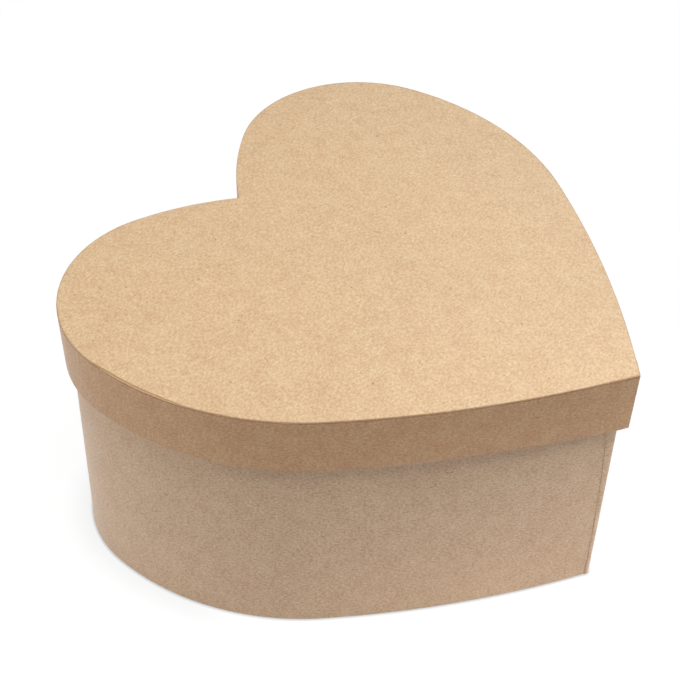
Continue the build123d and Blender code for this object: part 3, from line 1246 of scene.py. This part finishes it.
@dataclass
class Lid:
    """Lid: rim paper round its band, face paper on top, lining under the top."""

    papers: Papers
    tip_fold: float = 0.5 * MM
    hem_drop: float = 0.9 * MM
    hem_dip: float = 1.4 * MM
    dip_reach: float = 75 * MM
    lean: float = 0.7 * MM
    face_margin: float = 0.08 * MM
    short_by: float = 0.6 * MM
    short_at: tuple[float, float] = (-98 * MM, 36 * MM)
    short_reach: float = 21 * MM
    short_steepness: float = 1.6
    edge_wear: float = 0.7
    # Turned edge left bare on the top: fluffed, and painted paler as sheen like the face paper's
    turned_wear_and_sheen: float = -1.0
    top_wear: float = 1.0
    hem_wear: float = 0.5
    inside_wear: float = 0.3
    crease: float = 0.35 * MM
    rim_rows: int = 12
    inside_rows: int = 10
    board_rows: int = 6
    rim_seed: float = 3.0
    face_seed: float = 5.0
    lap: Lap = Lap(Side.RIGHT, over=7 * MM, wear=0.3 * MM)
    board_ends: ButtJoint = ButtJoint(gap=2.4 * MM)

    def rim_path(self) -> PaperPath:
        """Route of the rim paper: over the top board, down the rim, round the hem and up the inside.

        Returns:
            The path.
        """
        p = self.papers
        top, bottom = high("lid_top_board"), low("lid_rim_wrap") - self.hem_drop
        path = PaperPath(p.turned_edge, top, Heading.OUTWARD, p.thickness)
        path.run(p.turned_edge - p.corner, p.turned_rows, p.turned_margin, self.turned_wear_and_sheen)
        p.turn(path, self.top_wear)
        path.run(top - bottom - 2 * p.corner, self.rim_rows, self.crease)
        p.turn(path, self.hem_wear)
        p.cross_rim(path, self.inside_wear)
        return path.run(low("lid_top_board") - bottom - p.corner, self.inside_rows)

    def board_path(self) -> PaperPath:
        """Route of the rim's board, straight down inside the paper."""
        path = PaperPath(0.0, high("lid_rim_band"), Heading.DOWN, self.papers.board)
        return path.run(high("lid_rim_band") - low("lid_rim_band"), self.board_rows)

    def face_edge(self, outline: HeartOutline) -> list[Vector]:
        """Edge of the face paper, cut a little short along the left shoulder.

        Args:
            outline: The lid's outline.

        Returns:
            Points of the edge, right round.
        """
        place = Vector(self.short_at)
        edge = []
        for station in outline.ring():
            near = 1 - (outline.line([station], 0.0)[0] - place).length / self.short_reach
            inset = self.face_margin + self.short_by * smoothstep(self.short_steepness * near)
            edge += outline.line([station], inset)
        return edge

    def build(self, shop: Workshop) -> None:
        """Makes the lid's pieces and dresses its boards.

        Args:
            shop: What they are made with.
        """
        p = self.papers
        rim = shop.strip("lid_rim_paper", self.rim_path(), self.lap, 0.0, p.turned_edge, self.tip_fold,
                         LID_RIM, hem_dip=self.hem_dip, dip_reach=self.dip_reach, lean=self.lean,
                         waviness=p.ripple, wave_size=p.ripple_size, seed=self.rim_seed, **p.notches())
        settle(rim, Body.LID, "lid_rim_wrap")
        board = shop.strip("lid_rim_board", self.board_path(), self.board_ends, inset_of("lid_rim_band"),
                           p.turned_edge, 0.0, GREYBOARD, lean=self.lean)
        settle(board, Body.LID, "lid_rim_band")
        path = p.face_up(high("lid_face_sheet"), self.edge_wear)
        face = shop.sheet("lid_face_paper", self.face_edge(shop.outline), path, p.sheet_reach, LID_FACE,
                          relief=p.sheet_relief, wave_size=p.ripple_size, seed=self.face_seed)
        settle(face, Body.LID, "lid_face_sheet")
        edge = shop.edge_of("lid_ceiling_liner")
        lining = shop.sheet("lid_ceiling_lining", edge, p.face_down(low("lid_ceiling_liner")), p.sheet_reach,
                            FLAT_LINING)
        settle(lining, Body.LID, "lid_ceiling_liner")
        shop.dress("lid_top_board", GREYBOARD)
        shop.dress("lid_joint_tape", GUMMED_TAPE)


@dataclass
class Base:
    """Base: wall paper round its band, paper under the bottom, linings of wall and floor."""

    papers: Papers
    tip_fold: float = 1.6 * MM
    rim_turn_in: float = 16 * MM
    step_radius: float = 1 * MM
    rim_wear: float = 0.4
    foot_wear: float = 0.8
    crease: float = 0.5 * MM
    turn_in_rows: int = 8
    wall_rows: int = 44
    lining_rows: int = 24
    step_rows: int = 2
    lip_rows: int = 4
    wall_seed: float = 11.0
    lap: Lap = Lap(Side.LEFT, over=1.6 * MM, flare=5.6 * MM, wear=0.4 * MM)
    lining_joint: ButtJoint = ButtJoint(gap=0.5 * MM)

    def wall_path(self) -> PaperPath:
        """Route of the wall paper: up from inside, over the rim, down the wall and under the bottom.

        Returns:
            The path.
        """
        p = self.papers
        rim, foot = high("base_wall_wrap"), low("base_wall_wrap")
        path = PaperPath(p.over_rim(), rim - self.rim_turn_in, Heading.UP, p.thickness)
        path.run(self.rim_turn_in - p.corner, self.turn_in_rows)
        p.turn(path, self.rim_wear)
        p.cross_rim(path, self.rim_wear)
        path.run(rim - foot - 2 * p.corner, self.wall_rows, self.crease)
        p.turn(path, self.foot_wear)
        return path.run(p.turned_edge - p.corner, p.turned_rows, p.turned_margin)

    def lining_path(self) -> PaperPath:
        """Route of the wall's lining: from the floor, over the edge turned in at the rim, to below the rim.

        Returns:
            The path.
        """
        p = self.papers
        floor, top = high("base_bottom_board"), high("base_wall_liner")
        edge = high("base_wall_wrap") - self.rim_turn_in
        slope = acos(1 - p.thickness / (2 * self.step_radius))
        step = 2 * self.step_radius * sin(slope)
        path = PaperPath(p.thickness, floor, Heading.UP, p.thickness)
        path.run(edge - step - floor, self.lining_rows)
        path.fold(self.step_radius, -slope, self.step_rows)
        path.fold(self.step_radius, slope, self.step_rows)
        return path.run(top - edge, self.lip_rows)

    def build(self, shop: Workshop) -> None:
        """Makes the base's pieces and dresses its boards.

        Args:
            shop: What they are made with.
        """
        p = self.papers
        wall = shop.strip("base_wall_paper", self.wall_path(), self.lap, inset_of("base_wall_wrap"),
                          p.turned_edge, self.tip_fold, BASE_WALL, waviness=p.ripple,
                          wave_size=p.ripple_size, seed=self.wall_seed, **p.notches())
        settle(wall, Body.BASE, "base_wall_wrap")
        edge = shop.edge_of("base_bottom_sheet")
        bottom = shop.sheet("base_bottom_paper", edge, p.face_down(low("base_bottom_sheet")), p.sheet_reach,
                            BASE_BOTTOM)
        settle(bottom, Body.BASE, "base_bottom_sheet")
        edge = shop.edge_of("base_floor_liner")
        floor = shop.sheet("base_floor_lining", edge, p.face_up(high("base_floor_liner")), p.sheet_reach,
                           FLAT_LINING)
        settle(floor, Body.BASE, "base_floor_liner")
        lining = shop.strip("base_wall_lining", self.lining_path(), self.lining_joint,
                            inset_of("base_bottom_board"), p.turned_edge, 0.0, WALL_LINING)
        settle(lining, Body.BASE, "base_wall_liner")
        shop.dress("base_bottom_board", GREYBOARD)
        shop.dress("base_wall_band", GREYBOARD)
        shop.dress("base_joint_tape", GUMMED_TAPE)


@dataclass(frozen=True)
class Lamp:
    """Soft box, aimed at a point.

    Attributes:
        name: Name of the lamp.
        place: Where it hangs.
        aim: What it points at.
        size: Length of its sides.
        power: Power in watts.
        spread: Angle that its grid lets light out in.
    """

    name: str
    place: tuple[float, float, float]
    aim: tuple[float, float, float]
    size: float
    power: float
    spread: float = pi

    def hang(self) -> None:
        """Adds the lamp to the scene."""
        light = bpy.data.lights.new(self.name, "AREA")
        light.shape = "SQUARE"
        light.size = self.size
        light.energy = self.power
        light.spread = self.spread
        lamp = bpy.data.objects.new(self.name, light)
        lamp.location = self.place
        lamp.rotation_euler = (Vector(self.aim) - Vector(self.place)).to_track_quat("-Z", "Y").to_euler()
        bpy.context.scene.collection.objects.link(lamp)


@dataclass(frozen=True)
class Shade:
    """Shade that the box lays on the floor close to its foot.

    Attributes:
        reach: Distance from the box at which it has gone.
        depth: How dark it is where box and floor meet.
        side: Direction of the side that it lies on, or none for all sides.
        start: Distance from the middle towards that side where it starts.
        end: Distance from the middle where it is full.
    """

    SAMPLES = 4
    OPEN_AT_FOOT = 0.5

    reach: float
    depth: float
    side: Optional[tuple[float, float]] = None
    start: float = 0.0
    end: float = 0.0

    def darkness(self, w: Wiring) -> bpy.types.NodeSocket:
        """How much of the floor's white it takes away.

        Args:
            w: Wiring of the floor's material.

        Returns:
            The socket with that share.
        """
        openness = w.add("ShaderNodeAmbientOcclusion", {"Distance": self.reach}, samples=self.SAMPLES)
        dark = w.ramp(openness.outputs["AO"], self.OPEN_AT_FOOT, 1.0, self.depth, 0.0)
        if self.side is None:
            return dark
        place = w.add("ShaderNodeTexCoord").outputs["Object"]
        across = w.add("ShaderNodeVectorMath", {0: place, 1: (*self.side, 0.0)}, operation="DOT_PRODUCT")
        near_side = w.ramp(across.outputs["Value"], self.start, self.end, 0.0, 1.0, "SMOOTHSTEP")
        return w.sum("MULTIPLY", dark, near_side)


@dataclass
class Studio:
    """Pale floor, white surroundings, soft boxes and the camera."""

    floor_size: float = 60.0
    floor_colour: Colour = (0.88, 0.88, 0.88)
    floor_white: float = 0.92
    floor_glow: float = 1.03
    contact: tuple[Shade, ...] = (
        Shade(reach=1.2 * MM, depth=0.4),
        Shade(reach=12 * MM, depth=0.12, side=(-0.92, 0.39), start=84 * MM, end=101 * MM),
    )
    fill: float = 0.04
    lamps: tuple[Lamp, ...] = (
        Lamp("overhead_soft_box", (-0.215, -0.26, 1.235), (-0.12, -0.12, 0.05), 0.52, 3.54, radians(95)),
        Lamp("right_soft_box", (0.6, -0.4, 1.15), (0.0, 0.0, 0.05), 0.7, 2.0),
        Lamp("far_soft_box", (0.88, 0.2, 0.99), (0.0, 0.0, 0.1), 0.5, 2.8),
        Lamp("left_soft_box", (-0.78, 1.04, 0.31), (0.0, 0.0, 0.05), 0.8, 8.1),
        Lamp("floor_lamp", (0.16, -0.37, 0.28), (-0.06, -0.12, 0.0), 0.08, 0.045, radians(30)),
    )
    azimuth: float = radians(-56.887)
    elevation: float = radians(42.499)
    roll: float = radians(1.528)
    distance: float = 667.11 * MM
    aim: tuple[float, float, float] = (53.13 * MM, 56.88 * MM, 0.0)
    lens: float = 81.23
    sensor: float = 36.0
    near_clip: float = 10 * MM

    @staticmethod
    def seen_directly(w: Wiring) -> bpy.types.NodeSocket:
        """1 for rays of the camera and of reflections, 0 for rays that carry light.

        Args:
            w: Wiring of the material or world.

        Returns:
            The socket with that number.
        """
        path = w.add("ShaderNodeLightPath").outputs
        seen = w.sum("ADD", path["Is Camera Ray"], path["Is Glossy Ray"])
        return w.sum("ADD", seen, path["Is Transmission Ray"], clamp=True)

    def lay_floor(self) -> None:
        """Adds the floor, which keeps the shadow and looks white."""
        half = self.floor_size / 2
        corners = [(-half, -half, 0.0), (half, -half, 0.0), (half, half, 0.0), (-half, half, 0.0)]
        mesh = bpy.data.meshes.new("floor")
        mesh.from_pydata(corners, [], [(0, 1, 2, 3)])
        floor = bpy.data.objects.new("floor", mesh)
        bpy.context.scene.collection.objects.link(floor)
        material = bpy.data.materials.new("pale_floor")
        material.use_nodes = True
        material.node_tree.nodes.clear()
        w = Wiring(material.node_tree)
        white = w.sum("MULTIPLY", self.seen_directly(w), self.floor_white)
        matt = w.add("ShaderNodeBsdfDiffuse", {"Color": (*self.floor_colour, 1.0)})
        light = self.floor_glow
        for shade in self.contact:
            light = w.sum("SUBTRACT", light, shade.darkness(w))
        glow = w.add("ShaderNodeEmission", {"Color": (1.0, 1.0, 1.0, 1.0), "Strength": light})
        mix = w.add("ShaderNodeMixShader", {0: white, 1: matt.outputs[0], 2: glow.outputs[0]})
        w.add("ShaderNodeOutputMaterial", {"Surface": mix.outputs[0]})
        mesh.materials.append(material)

    def light_world(self) -> None:
        """Makes the surroundings white to look at and dim as a light."""
        world = bpy.data.worlds.new("white_surroundings")
        world.use_nodes = True
        world.node_tree.nodes.clear()
        w = Wiring(world.node_tree)
        strength = w.ramp(self.seen_directly(w), 0.0, 1.0, self.fill, 1.0)
        background = w.add("ShaderNodeBackground", {"Color": (1.0, 1.0, 1.0, 1.0), "Strength": strength})
        w.add("ShaderNodeOutputWorld", {"Surface": background.outputs[0]})
        bpy.context.scene.world = world

    def place_camera(self) -> None:
        """Puts the camera where the photograph was taken from."""
        level = cos(self.elevation)
        back = Vector((sin(self.azimuth) * level, -cos(self.azimuth) * level, sin(self.elevation)))
        right = Vector((0.0, 0.0, 1.0)).cross(back).normalized()
        turn = Matrix.Rotation(self.roll, 3, back)
        right = turn @ right
        axes = Matrix((right, back.cross(right), back)).transposed()
        data = bpy.data.cameras.new("camera")
        data.lens = self.lens
        data.sensor_width = self.sensor
        data.clip_start = self.near_clip
        camera = bpy.data.objects.new("camera", data)
        camera.matrix_world = Matrix.Translation(Vector(self.aim) + back * self.distance) @ axes.to_4x4()
        bpy.context.scene.collection.objects.link(camera)
        bpy.context.scene.camera = camera

    def set_up(self) -> None:
        """Builds the studio."""
        self.lay_floor()
        self.light_world()
        for lamp in self.lamps:
            lamp.hang()
        self.place_camera()
        bpy.context.scene.view_settings.view_transform = "Standard"


def main() -> None:
    """Builds the lid, the base and the studio in order."""
    logging.basicConfig(level=logging.INFO, format="%(name)s: %(message)s")
    sheet_low, sheet_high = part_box("lid_face_sheet")
    board_low, board_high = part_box("lid_top_board")
    papers = Papers(sheet_high.z - sheet_low.z, board_high.z - board_low.z)
    shop = Workshop(HeartOutline(half_width("lid_rim_wrap")), PaperTree(), NodeGroups())
    Lid(papers).build(shop)
    Base(papers).build(shop)
    Studio().set_up()


if __name__ == "__main__":
    main()
